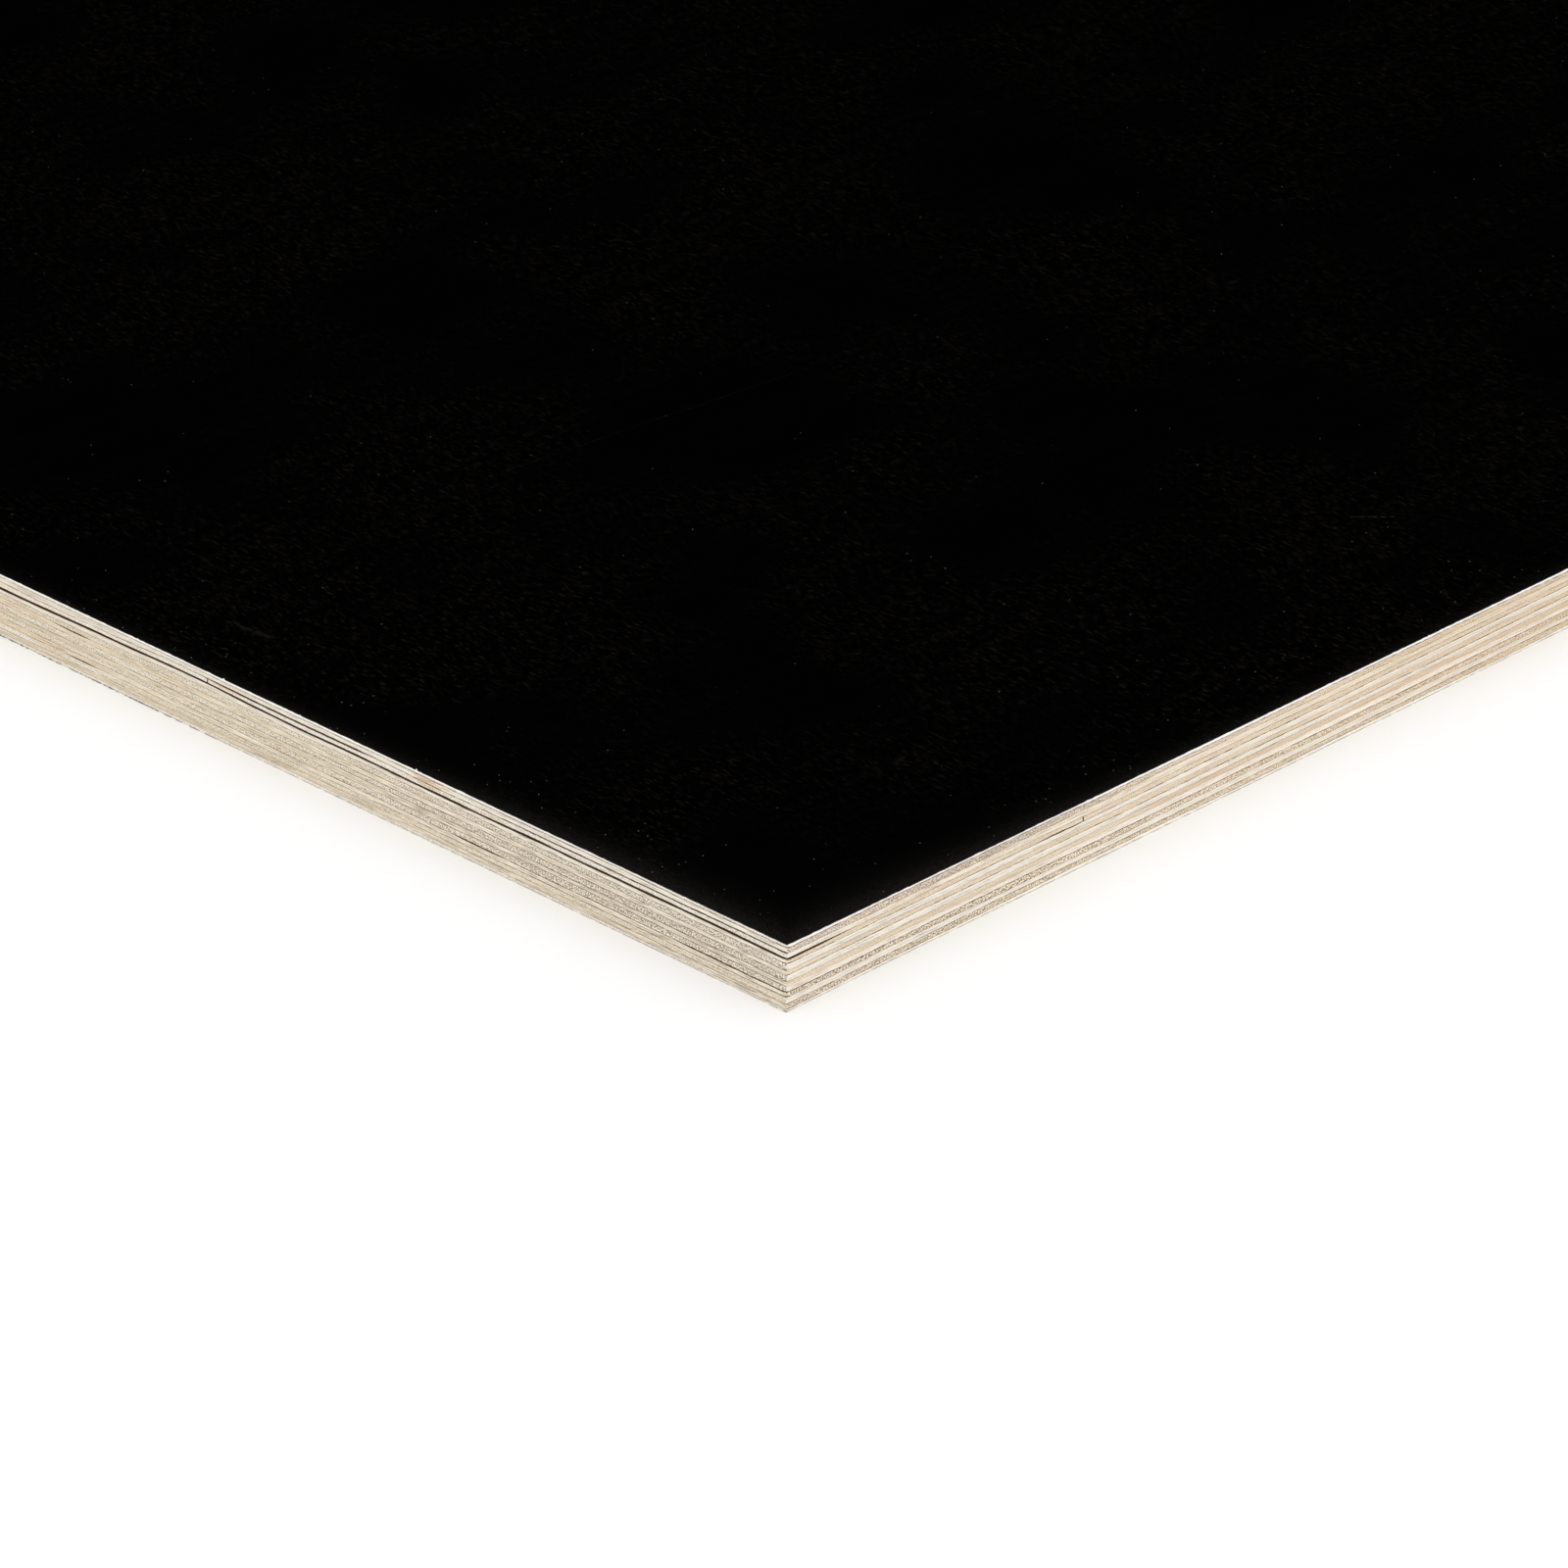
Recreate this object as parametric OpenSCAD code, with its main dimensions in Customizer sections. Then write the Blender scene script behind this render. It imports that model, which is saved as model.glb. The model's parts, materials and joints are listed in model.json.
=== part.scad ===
// Film-faced plywood sheet, lying flat.
// Peeled veneers are glued one on another with the grain of each turned a quarter turn from the last,
// a phenolic film is pressed onto both faces, and the edges are sawn square through every layer.
// The origin is the middle of the underside. +X runs along the grain of the face veneer and +Z is up.

/* [Sheet] */
// Length of the sheet, along the grain of the face veneer
sheet_length = 2440; // [300:10:3660]
// Width of the sheet, across the grain of the face veneer
sheet_width = 1220; // [300:10:1830]

/* [Layup] */
// Number of crossbands, the veneers whose grain runs across the sheet
crossband_count = 6; // [1:1:12]
// Thickness of one crossband
crossband_t = 1.4; // [0.8:0.05:3.2]
// Thickness of one core veneer, which lies between two crossbands
core_veneer_t = 1.54; // [0.8:0.02:3.2]
// Thickness of the face veneer and of the back veneer, once sanded
face_veneer_t = 0.75; // [0.4:0.05:2]
// Thickness of one phenolic film
film_t = 0.2; // [0.1:0.05:0.6]

/* [Colours] */
// Phenolic film
film_colour = "#0a0a0a"; // [#0a0a0a:black, #3a2216:brown]
// Veneers with the grain along the sheet, which show pale side grain on the long edges
long_grain_colour = "#e8decb"; // [#e8decb:pale, #e3cfa8:cream]
// Veneers with the grain across the sheet, which show tan end grain on the long edges
cross_grain_colour = "#d9c3a0"; // [#d9c3a0:tan, #c9a67c:brown]

/* [Hidden] */
// The layup from the underside to the top. A layer is its node's name, its kind and its thickness.
BACK = [["back_film", "film", film_t], ["back_veneer", "face", face_veneer_t]];
MIDDLE = [
    for (i = [1 : crossband_count])
        each concat(
            [[str("crossband_", i), "crossband", crossband_t]],
            i < crossband_count ? [[str("core_veneer_", i), "core", core_veneer_t]] : []
        )
];
FACE = [["face_veneer", "face", face_veneer_t], ["face_film", "film", film_t]];
LAYUP = concat(BACK, MIDDLE, FACE);

// Height of the underside of layer n above the floor: the thickness of all the layers below it
function height_of(n) = n == 0 ? 0 : height_of(n - 1) + LAYUP[n - 1][2];

// A layer as it lies in the sheet: the sheet's full outline, from height z up
module slab(z, thickness) {
    translate([-sheet_length / 2, -sheet_width / 2, z])
        cube([sheet_length, sheet_width, thickness]);
}

module film(z) {
    color(film_colour) slab(z, film_t);
}

module face_veneer(z) {
    color(long_grain_colour) slab(z, face_veneer_t);
}

module core_veneer(z) {
    color(long_grain_colour) slab(z, core_veneer_t);
}

module crossband(z) {
    color(cross_grain_colour) slab(z, crossband_t);
}

// Lays layer n on the layers below it
module lay(n) {
    kind = LAYUP[n][1];
    z = height_of(n);
    if (kind == "film") film(z);
    if (kind == "face") face_veneer(z);
    if (kind == "core") core_veneer(z);
    if (kind == "crossband") crossband(z);
}

for (n = [0 : len(LAYUP) - 1])
    lay(n);
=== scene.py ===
"""The looks of a film-faced plywood sheet that lies on a pale floor, seen at its near corner.

The sheet is a stack of glued veneers between two phenolic films. Each layer is a closed mesh with the
sheet's outline. Its sawn edge follows the wavy glue lines, and open glue lines, veneer joints, chips and
worn corners are real gaps and notches. Sizes are in millimetres unless a name says otherwise, and places
on the sheet are measured from the near corner of its underside: x along the front edge, y along the left
end and z up.
"""

import json
import math

import bpy
import numpy as np
from mathutils import Matrix, Vector, noise


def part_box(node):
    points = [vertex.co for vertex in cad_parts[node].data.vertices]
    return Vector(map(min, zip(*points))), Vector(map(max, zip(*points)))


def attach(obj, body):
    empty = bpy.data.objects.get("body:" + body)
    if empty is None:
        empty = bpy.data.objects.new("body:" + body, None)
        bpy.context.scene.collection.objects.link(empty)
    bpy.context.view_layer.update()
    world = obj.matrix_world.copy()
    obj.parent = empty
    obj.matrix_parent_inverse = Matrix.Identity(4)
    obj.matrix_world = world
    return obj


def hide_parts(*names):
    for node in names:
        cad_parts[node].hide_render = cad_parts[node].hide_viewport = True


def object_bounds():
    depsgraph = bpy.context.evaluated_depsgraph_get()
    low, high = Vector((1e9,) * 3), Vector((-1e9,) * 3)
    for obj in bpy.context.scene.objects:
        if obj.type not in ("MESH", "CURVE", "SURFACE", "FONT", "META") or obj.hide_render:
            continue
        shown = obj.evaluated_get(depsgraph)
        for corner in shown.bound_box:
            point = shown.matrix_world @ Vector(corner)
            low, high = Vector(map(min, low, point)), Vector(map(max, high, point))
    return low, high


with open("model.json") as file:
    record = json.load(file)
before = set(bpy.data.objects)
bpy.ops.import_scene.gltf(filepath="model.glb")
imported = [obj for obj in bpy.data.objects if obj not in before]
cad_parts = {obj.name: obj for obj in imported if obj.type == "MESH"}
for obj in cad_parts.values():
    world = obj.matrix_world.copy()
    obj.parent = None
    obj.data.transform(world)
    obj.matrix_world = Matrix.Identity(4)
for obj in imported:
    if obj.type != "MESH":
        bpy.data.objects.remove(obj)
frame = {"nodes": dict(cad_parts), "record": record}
cad_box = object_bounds()

# The frame's own sizes, and its layers from the underside up
MM = 0.001
LOW = np.array(cad_box[0]) / MM
HIGH = np.array(cad_box[1]) / MM
LENGTH, WIDTH, THICKNESS = (float(size) for size in HIGH - LOW)
LAYERS = sorted(frame["nodes"], key=lambda node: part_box(node)[0].z)
LEVELS = [float(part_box(node)[0].z / MM - LOW[2]) for node in LAYERS] + [THICKNESS]
SLOTS = {part["node"]: part["material_slot"] for part in frame["record"]["subparts"]}
TOP_LAYER = len(LAYERS) - 1

# Levels between two veneers, and the veneers between the back veneer and the face veneer
GLUED_LEVELS = range(2, TOP_LAYER)
INNER_VENEERS = range(2, TOP_LAYER - 1)

# The camera, from the directions of the sheet's edges in the picture
PICTURE_PX = 1600
FOCAL_PX = 7011.0
CORNER_PX = (803.45, 964.15)
CORNER_DEPTH = 1591.0
YAW = math.radians(46.85)
PITCH = math.radians(27.11)
ROLL = math.radians(-1.196)
SENSOR = 36.0
CLIP_END_M = 200.0

# Columns of points along the edges, closer together where the edges are seen close up
CLOSE_UP = 330.0
NEAR_STEP = 1.0
FAR_STEP = 3.5
CORNER_STEPS = (0.3, 0.6, 1.5)
LEAST_STEP = 0.05
PLACE_DIGITS = 3

# Waves of the glue lines. Each is smooth noise, whose seed differs from layer to layer
LONG_WAVE = 55.0
SHORT_WAVE = 14.0
LONG_RISE = 0.34
SHORT_RISE = 0.12
WAVE_START = (0.31, 0.47, 0.37)
SEED_STEP = 3.0
LEAST_VENEER = 0.4

# Swells, which move the levels above and below as well. Their spread is in layers
SWELL_SPREAD = 1.6
SWELLS = (
    # layer whose underside swells, edge, place along it, reach, rise
    ("core_veneer_5", "left", 207.0, 19.0, 0.62),
    ("core_veneer_5", "left", 268.0, 26.0, -0.34),
    ("core_veneer_5", "left", 165.0, 14.0, -0.24),
    ("core_veneer_5", "left", 112.0, 24.0, -0.22),
    ("core_veneer_5", "left", 15.0, 60.0, -0.17),
    ("core_veneer_5", "left", 20.0, 8.0, 0.12),
    ("face_veneer", "front", 50.0, 60.0, 0.2),
    ("core_veneer_3", "front", 1420.0, 40.0, 0.5),
    ("crossband_3", "back", 760.0, 35.0, 0.5),
    ("core_veneer_4", "right", 330.0, 30.0, 0.45),
)

# Open glue lines, which close again at their root inside the sheet
GAP_ROOT = 7.0
GAP_WAVE = 9.0
GAP_CHANGE = 0.4
GAP_SEED = 50.0
LEVEL_INSET = 12.0
OPEN_LINES = (
    # layer above the gap, edge, from, to, fade at the ends, height
    ("core_veneer_5", "left", -60.0, 450.0, 40.0, 0.50),
    ("core_veneer_5", "left", 30.0, 420.0, 30.0, 0.60),
    ("core_veneer_5", "left", 24.0, 78.0, 16.0, 0.74),
    ("core_veneer_5", "front", -30.0, 26.0, 18.0, 0.56),
    ("crossband_6", "left", 139.0, 203.0, 7.0, 0.36),
    ("crossband_6", "left", -20.0, 96.0, 16.0, 0.18),
    ("core_veneer_4", "left", 243.0, 260.0, 6.0, 0.34),
    ("core_veneer_2", "left", -20.0, 37.0, 6.0, 0.24),
    ("core_veneer_2", "left", 93.0, 113.0, 6.0, 0.24),
    ("crossband_5", "front", 88.0, 106.0, 5.0, 0.22),
    ("crossband_2", "left", 240.0, 255.0, 5.0, 0.26),
    ("core_veneer_2", "back", 700.0, 910.0, 40.0, 0.30),
    ("crossband_5", "right", 280.0, 430.0, 30.0, 0.32),
    ("core_veneer_4", "front", 1510.0, 1660.0, 30.0, 0.24),
    ("crossband_3", "front", 2080.0, 2210.0, 20.0, 0.26),
    ("core_veneer_5", "back", 1850.0, 2040.0, 30.0, 0.30),
)

# Joints between the pieces of a veneer. They run along its grain, so they come out on two opposite edges
JOINT_HALF = 0.16
JOINT_LIP = 0.07
JOINT_DEPTH = 1.6
JOINTS = {
    "core_veneer_5": 200.0,
    "crossband_5": 103.7,
    "crossband_1": 1462.0,
    "core_veneer_2": 641.0,
    "crossband_3": 818.0,
    "core_veneer_4": 906.0,
    "crossband_6": 2013.0,
    "crossband_2": 1874.0,
}

# Wear: the step from one sawn veneer to the next, worn corners, and chips out of the film
SAWN_STEP = 0.06
SAWN_WAVE = 7.0
SAWN_SEED = 80.0
CORNER_WEAR = (0.03, 0.3)
CORNER_REACH = 0.8
FILM_WEAR = 0.25
FILM_WAVE = 1.3
FILM_SEED = 200.0
FILM_BEVEL = 0.04
CHIP_HALF = 0.5
CHIPS = (
    # edge, place along it, depth
    ("left", 124.5, 0.9),
    ("left", 194.0, 0.7),
    ("left", 226.0, 0.35),
    ("left", 166.0, 0.3),
    ("front", 41.0, 0.25),
    ("front", 236.0, 0.3),
    ("front", 1120.0, 0.8),
    ("right", 470.0, 0.7),
    ("back", 610.0, 0.9),
    ("back", 1930.0, 0.5),
)

# Which way each edge runs: 0 along x, 1 along y
ALONG = {"front": 0, "back": 0, "left": 1, "right": 1}
FAR_EDGES = ("right", "back")


def grain_axis(layer):
    """0 where the veneer's grain runs along x, and 1 where it runs along y."""
    return 1 if SLOTS[layer] == "cross_grain_veneer" else 0


def stations(length, joints, chips):
    """Places of the columns along one edge, closer together beside its corners, joints and chips."""
    near = np.arange(0.0, CLOSE_UP, NEAR_STEP)
    far = np.linspace(CLOSE_UP, length, round((length - CLOSE_UP) / FAR_STEP) + 1)
    corner = np.array(CORNER_STEPS)
    beside = [side * at for side in (-1, 1) for at in (JOINT_HALF, JOINT_HALF + JOINT_LIP)]
    lips = [place + at for place in joints for at in beside]
    notches = [place + at for place in chips for at in (-CHIP_HALF, 0.0, CHIP_HALF)]
    places = np.concatenate([near, far, corner, length - corner, lips, notches])
    places = np.unique(np.round(places, PLACE_DIGITS))
    return places[np.append(np.diff(places) > LEAST_STEP, True)]


def columns():
    """Places of all columns, anticlockwise: the front edge, the right end, the back edge and the left end."""
    joints = ([], [])
    for layer, place in JOINTS.items():
        joints[1 - grain_axis(layer)].append(place)
    chips = ([], [])
    for edge, place, _ in CHIPS:
        chips[ALONG[edge]].append(place)
    xs = stations(LENGTH, joints[0], chips[0])
    ys = stations(WIDTH, joints[1], chips[1])
    front = [(x, 0.0) for x in xs[:-1]]
    right = [(xs[-1], y) for y in ys[:-1]]
    back = [(x, ys[-1]) for x in xs[:0:-1]]
    left = [(0.0, y) for y in ys[:0:-1]]
    return np.array(front + right + back + left)


PLACES = columns()
COUNT = len(PLACES)
FAR_CORNER = PLACES.max(axis=0)
ON = {
    "front": PLACES[:, 1] == 0.0,
    "right": PLACES[:, 0] == FAR_CORNER[0],
    "back": PLACES[:, 1] == FAR_CORNER[1],
    "left": PLACES[:, 0] == 0.0,
}
CORNER_DISTANCE = np.minimum(PLACES, FAR_CORNER - PLACES).max(axis=1)
STEPS = np.linalg.norm(np.roll(PLACES, -1, axis=0) - PLACES, axis=1)
RUN = np.concatenate([[0.0], np.cumsum(STEPS)])

# Inside the edges, each layer's faces go on to a ring of fewer columns. It closes on a line along the middle
# of the sheet, as a hipped roof does on its ridge
RING_INSET = 40.0
RING_EVERY = 16
KEPT = np.unique(np.concatenate([np.arange(0, COUNT, RING_EVERY), np.flatnonzero(CORNER_DISTANCE == 0.0)]))
RIDGE_X, RIDGE_OF = np.unique(np.clip(PLACES[KEPT, 0], WIDTH / 2, LENGTH - WIDTH / 2), return_inverse=True)


def ripple(wave, seed):
    """Smooth noise along the edges, from about -1 to 1. wave is the length of its waves."""
    start_x, start_y, start_z = WAVE_START
    offset = Vector((start_x, start_y, start_z + seed))
    return np.array([noise.noise(Vector((x / wave, y / wave, 0.0)) + offset) for x, y in PLACES])


def smooth(share):
    """0 below 0, 1 above 1 and a smooth step between."""
    share = np.clip(share, 0.0, 1.0)
    return share * share * (3.0 - 2.0 * share)


def on_edge(edge, place):
    """The place on the sheet's outline that lies this far along an edge."""
    point = FAR_CORNER * (edge in FAR_EDGES)
    point[ALONG[edge]] = place
    return point


def level_heights(k):
    """Height of the underside of layer k along the edges, with its waves and swells."""
    heights = np.full(COUNT, LEVELS[k])
    if k not in GLUED_LEVELS:
        return heights
    seed = SEED_STEP * k
    heights += LONG_RISE * ripple(LONG_WAVE, seed) + SHORT_RISE * ripple(SHORT_WAVE, seed + 1.0)
    for layer, edge, place, reach, rise in SWELLS:
        nearness = math.exp(-(((k - LAYERS.index(layer)) / SWELL_SPREAD) ** 2))
        away = np.linalg.norm(PLACES - on_edge(edge, place), axis=1) / reach
        heights += rise * nearness * np.exp(-(away**2))
    return heights


def all_heights():
    """Heights of every level, no two nearer than the thinnest that a veneer gets."""
    heights = [level_heights(k) for k in range(TOP_LAYER + 2)]
    for k in GLUED_LEVELS:
        heights[k] = np.maximum(heights[k], heights[k - 1] + LEAST_VENEER)
    for k in reversed(GLUED_LEVELS):
        heights[k] = np.minimum(heights[k], heights[k + 1] - LEAST_VENEER)
    return heights


def gap_under(k):
    """Height of the open glue line under layer k along the edges."""
    gap = np.zeros(COUNT)
    for layer, edge, start, end, fade, height in OPEN_LINES:
        if LAYERS[k] == layer:
            place = PLACES[:, ALONG[edge]]
            share = smooth((place - start) / fade) * smooth((end - place) / fade)
            gap = np.maximum(gap, ON[edge] * share * height)
    return gap * (1.0 + GAP_CHANGE * ripple(GAP_WAVE, GAP_SEED + k))


HEIGHTS = all_heights()
GAPS = [gap_under(k) for k in range(TOP_LAYER + 1)] + [np.zeros(COUNT)]


def joint_notch(layer):
    """How far the joint of a veneer's pieces cuts into its edge."""
    if layer not in JOINTS:
        return 0.0
    across = 1 - grain_axis(layer)
    crossed = (ON["front"] | ON["back"]) if across == 0 else (ON["left"] | ON["right"])
    away = np.abs(PLACES[:, across] - JOINTS[layer])
    return JOINT_DEPTH * (crossed & (away < JOINT_HALF + JOINT_LIP / 2))


# Rows of a veneer's points that bound its sawn edge
SAWN_BOTTOM = 2
SAWN_TOP = 4


def veneer_rows(k):
    """Rows of points round veneer k, from its underside over its sawn edge to its top: inset and height."""
    layer = LAYERS[k]
    chance = np.random.default_rng(k)
    bottom = HEIGHTS[k] + GAPS[k] / 2
    top = HEIGHTS[k + 1] - GAPS[k + 1] / 2
    worn = chance.uniform(*CORNER_WEAR) * np.exp(-((CORNER_DISTANCE / CORNER_REACH) ** 2))
    worn = worn + chance.uniform(0.0, SAWN_STEP) + joint_notch(layer)
    seed = SAWN_SEED + SEED_STEP * k
    sawn = [worn + SAWN_STEP / 2 * (1.0 + ripple(SAWN_WAVE, seed + row)) for row in range(3)]
    return [
        (LEVEL_INSET, LEVELS[k]),
        (GAP_ROOT, HEIGHTS[k]),
        (sawn[0], bottom),
        (sawn[1], (bottom + top) / 2),
        (sawn[2], top),
        (GAP_ROOT, HEIGHTS[k + 1]),
        (LEVEL_INSET, LEVELS[k + 1]),
    ]


def film_rows(k):
    """Rows of points round film k. Its outer arris is bevelled and chipped."""
    worn = FILM_WEAR * np.maximum(ripple(FILM_WAVE, FILM_SEED + k), 0.0)
    if k == TOP_LAYER:
        for edge, place, depth in CHIPS:
            near = np.abs(PLACES[:, ALONG[edge]] - place) < CHIP_HALF / 2
            worn = np.where(ON[edge] & near, depth, worn)
        return [(worn, LEVELS[k]), (worn, LEVELS[k + 1] - FILM_BEVEL), (worn + FILM_BEVEL, LEVELS[k + 1])]
    return [(worn + FILM_BEVEL, LEVELS[k]), (worn, LEVELS[k] + FILM_BEVEL), (worn, LEVELS[k + 1])]


def inset_places(places, inset):
    """Places on the edges, moved in from them."""
    middle = FAR_CORNER / 2
    return middle + (places - middle) * (1.0 - 2.0 * inset / FAR_CORNER)


def layer_points(rows):
    """The points of a layer: its rows, then the ring and ridge of its underside, then those of its top."""
    points = np.empty((len(rows), COUNT, 3))
    for row, (inset, height) in zip(points, rows):
        row[:, :2] = inset_places(PLACES, np.broadcast_to(inset, COUNT)[:, None])
        row[:, 2] = height
    ring = inset_places(PLACES[KEPT], RING_INSET)
    ridge = np.column_stack([RIDGE_X, np.full(len(RIDGE_X), FAR_CORNER[1] / 2)])
    inner = np.concatenate([ring, ridge])
    under = np.column_stack([inner, np.full(len(inner), points[0, 0, 2])])
    over = np.column_stack([inner, np.full(len(inner), points[-1, 0, 2])])
    return np.concatenate([points.reshape(-1, 3), under, over])


def face_of_layer(edge, ring):
    """The faces that close a layer's top, from the row of points at its edge to its ring and its ridge."""
    ridge = ring + len(KEPT)
    faces = []
    for a, b in zip(range(len(KEPT)), np.roll(range(len(KEPT)), -1)):
        start, end = int(KEPT[a]), int(KEPT[b]) or COUNT
        outer = [edge + i % COUNT for i in range(start, end + 1)]
        faces.append(outer + [ring + int(b), ring + a])
        near, far = int(RIDGE_OF[a]), int(RIDGE_OF[b])
        step = 1 if near > far else -1
        faces.append([ring + a, ring + int(b)] + [ridge + i for i in range(far, near + step, step)])
    return faces


def layer_faces(row_count):
    """The faces of a layer: the strips between its rows, then its underside and its top."""
    here = np.arange(COUNT)
    after = np.roll(here, -1)
    strips = []
    for row in range(row_count - 1):
        low, high = row * COUNT, (row + 1) * COUNT
        strips.append(np.column_stack([low + here, low + after, high + after, high + here]))
    faces = np.concatenate(strips).tolist()
    under = row_count * COUNT
    over = under + len(KEPT) + len(RIDGE_X)
    faces += [face[::-1] for face in face_of_layer(0, under)]
    faces += face_of_layer((row_count - 1) * COUNT, over)
    return faces


# Faces that meet at more than this angle keep a sharp arris
SHARP_ANGLE = math.radians(35.0)


def new_piece(name, points, faces):
    """A piece made of these points, in mm from the near corner, with sharp arrises and smooth faces."""
    mesh = bpy.data.meshes.new(name)
    mesh.from_pydata(((points + LOW) * MM).tolist(), [], faces)
    mesh.shade_smooth()
    mesh.set_sharp_from_angle(angle=SHARP_ANGLE)
    piece = bpy.data.objects.new(name, mesh)
    bpy.context.scene.collection.objects.link(piece)
    return piece


def set_values(mesh, name, values):
    """Gives each point of a mesh a value that its material can read."""
    attribute = mesh.attributes.new(name, "FLOAT", "POINT")
    attribute.data.foreach_set("value", np.asarray(values, dtype=np.float32))


# Parts of each layer's own map, as left, bottom, right and top. The sawn edge is folded into rows, so that it
# shows finely
MAP_ROWS = 36
MAP_MARGIN = 0.12
WIDE_EDGE = (0.0, 0.0, 1.0, 0.78)
NARROW_EDGE = (0.0, 0.52, 1.0, 0.78)
LARGE_FACE = (0.01, 0.01, 0.99, 0.5)
SMALL_FACE = (0.01, 0.8, 0.49, 0.99)
SECOND_SMALL_FACE = (0.51, 0.8, 0.99, 0.99)
VENEER_MAP = {"edge": WIDE_EDGE, "under": SMALL_FACE, "over": SECOND_SMALL_FACE}
TOP_FILM_MAP = {"over": LARGE_FACE, "edge": NARROW_EDGE, "under": SMALL_FACE}
BACK_FILM_MAP = {"under": LARGE_FACE, "edge": NARROW_EDGE, "over": SMALL_FACE}
MAP_NAME = "OFBake"


def give_map(mesh, points, strips, parts):
    """Gives a layer its map. strips names the part for each strip between two rows of its points."""
    corners = np.empty(len(mesh.loops), dtype=np.int32)
    mesh.loops.foreach_get("vertex_index", corners)
    plan = points[corners, :2] / FAR_CORNER
    strip_corners = 4 * COUNT
    rest = (len(corners) - len(strips) * strip_corners) // 2
    names = np.repeat([*strips, "under", "over"], [strip_corners] * len(strips) + [rest, rest])
    places = np.empty((len(corners), 2))
    for name in ("under", "over"):
        left, bottom, right, top = parts[name]
        places[names == name] = (left, bottom) + plan[names == name] * (right - left, top - bottom)
    left, bottom, right, top = parts["edge"]
    fold = RUN[-1] / MAP_ROWS
    row = np.floor(RUN[:-1] / fold)
    starts = (RUN[:-1] - row * fold) / (fold + FAR_STEP)
    ends = (RUN[1:] - row * fold) / (fold + FAR_STEP)
    edges = [i for i, strip in enumerate(strips) if strip == "edge"]
    for order, strip in enumerate(edges):
        share = [MAP_MARGIN + (1.0 - 2.0 * MAP_MARGIN) * at / len(edges) for at in (order, order + 1)]
        low, high = ((row + at) / MAP_ROWS for at in share)
        square = np.stack([np.stack([starts, ends, ends, starts], 1), np.stack([low, low, high, high], 1)], 2)
        square = (left, bottom) + square * (right - left, top - bottom)
        places[strip * strip_corners : (strip + 1) * strip_corners] = square.reshape(-1, 2)
    mesh.uv_layers.new(name=MAP_NAME).uv.foreach_set("vector", places.astype(np.float32).ravel())


def build_veneer(k):
    """Veneer k as a piece. Its points know how far they are above its underside and below its top."""
    layer = LAYERS[k]
    rows = veneer_rows(k)
    points = layer_points(rows)
    piece = new_piece(f"{layer}_ply", points, layer_faces(len(rows)))
    give_map(piece.data, points, ("under", "under", "edge", "edge", "over", "over"), VENEER_MAP)
    thickness = rows[SAWN_TOP][1] - rows[SAWN_BOTTOM][1]
    none = np.zeros(COUNT)
    inner = np.zeros(len(KEPT) + len(RIDGE_X))
    full = inner + LEVELS[k + 1] - LEVELS[k]
    above = [none, none, none, thickness / 2, thickness, thickness, thickness, inner, full]
    below = [thickness, thickness, thickness, thickness / 2, none, none, none, full, inner]
    set_values(piece.data, "above", np.concatenate(above))
    set_values(piece.data, "below", np.concatenate(below))
    return piece


def build_film(k):
    """Film k as a piece."""
    rows = film_rows(k)
    points = layer_points(rows)
    piece = new_piece(f"{LAYERS[k]}_skin", points, layer_faces(len(rows)))
    give_map(piece.data, points, ("edge", "edge"), TOP_FILM_MAP if k == TOP_LAYER else BACK_FILM_MAP)
    return piece


# How much brighter the studio is than the light in which a surface shows its own colour
STUDIO_GAIN = 1.12

# The scale of tones from 0 to 255: straight near black, and a power curve above
WHITE_TONE = 255
STRAIGHT_END = 0.04045
STRAIGHT_SLOPE = 12.92
CURVE_OFFSET = 0.055
CURVE_POWER = 2.4


def light_of(tone):
    """The share of light that a tone stands for."""
    share = tone / WHITE_TONE
    if share <= STRAIGHT_END:
        return share / STRAIGHT_SLOPE
    return ((share + CURVE_OFFSET) / (1.0 + CURVE_OFFSET)) ** CURVE_POWER


def colour(red, green, blue):
    """A colour as a shader takes it, which the studio's light shows in these tones."""
    return [light_of(tone) / STUDIO_GAIN for tone in (red, green, blue)] + [1.0]


# How far a face looks along an axis before it takes on the looks of that side, and when it does so fully
FACING = (0.3, 0.7)

# The middle of a noise's values, and how far each seed moves its place along x, y and z
NOISE_MIDDLE = 0.5
SEED_SHIFT = (7.1, 3.3, 5.7)


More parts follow.
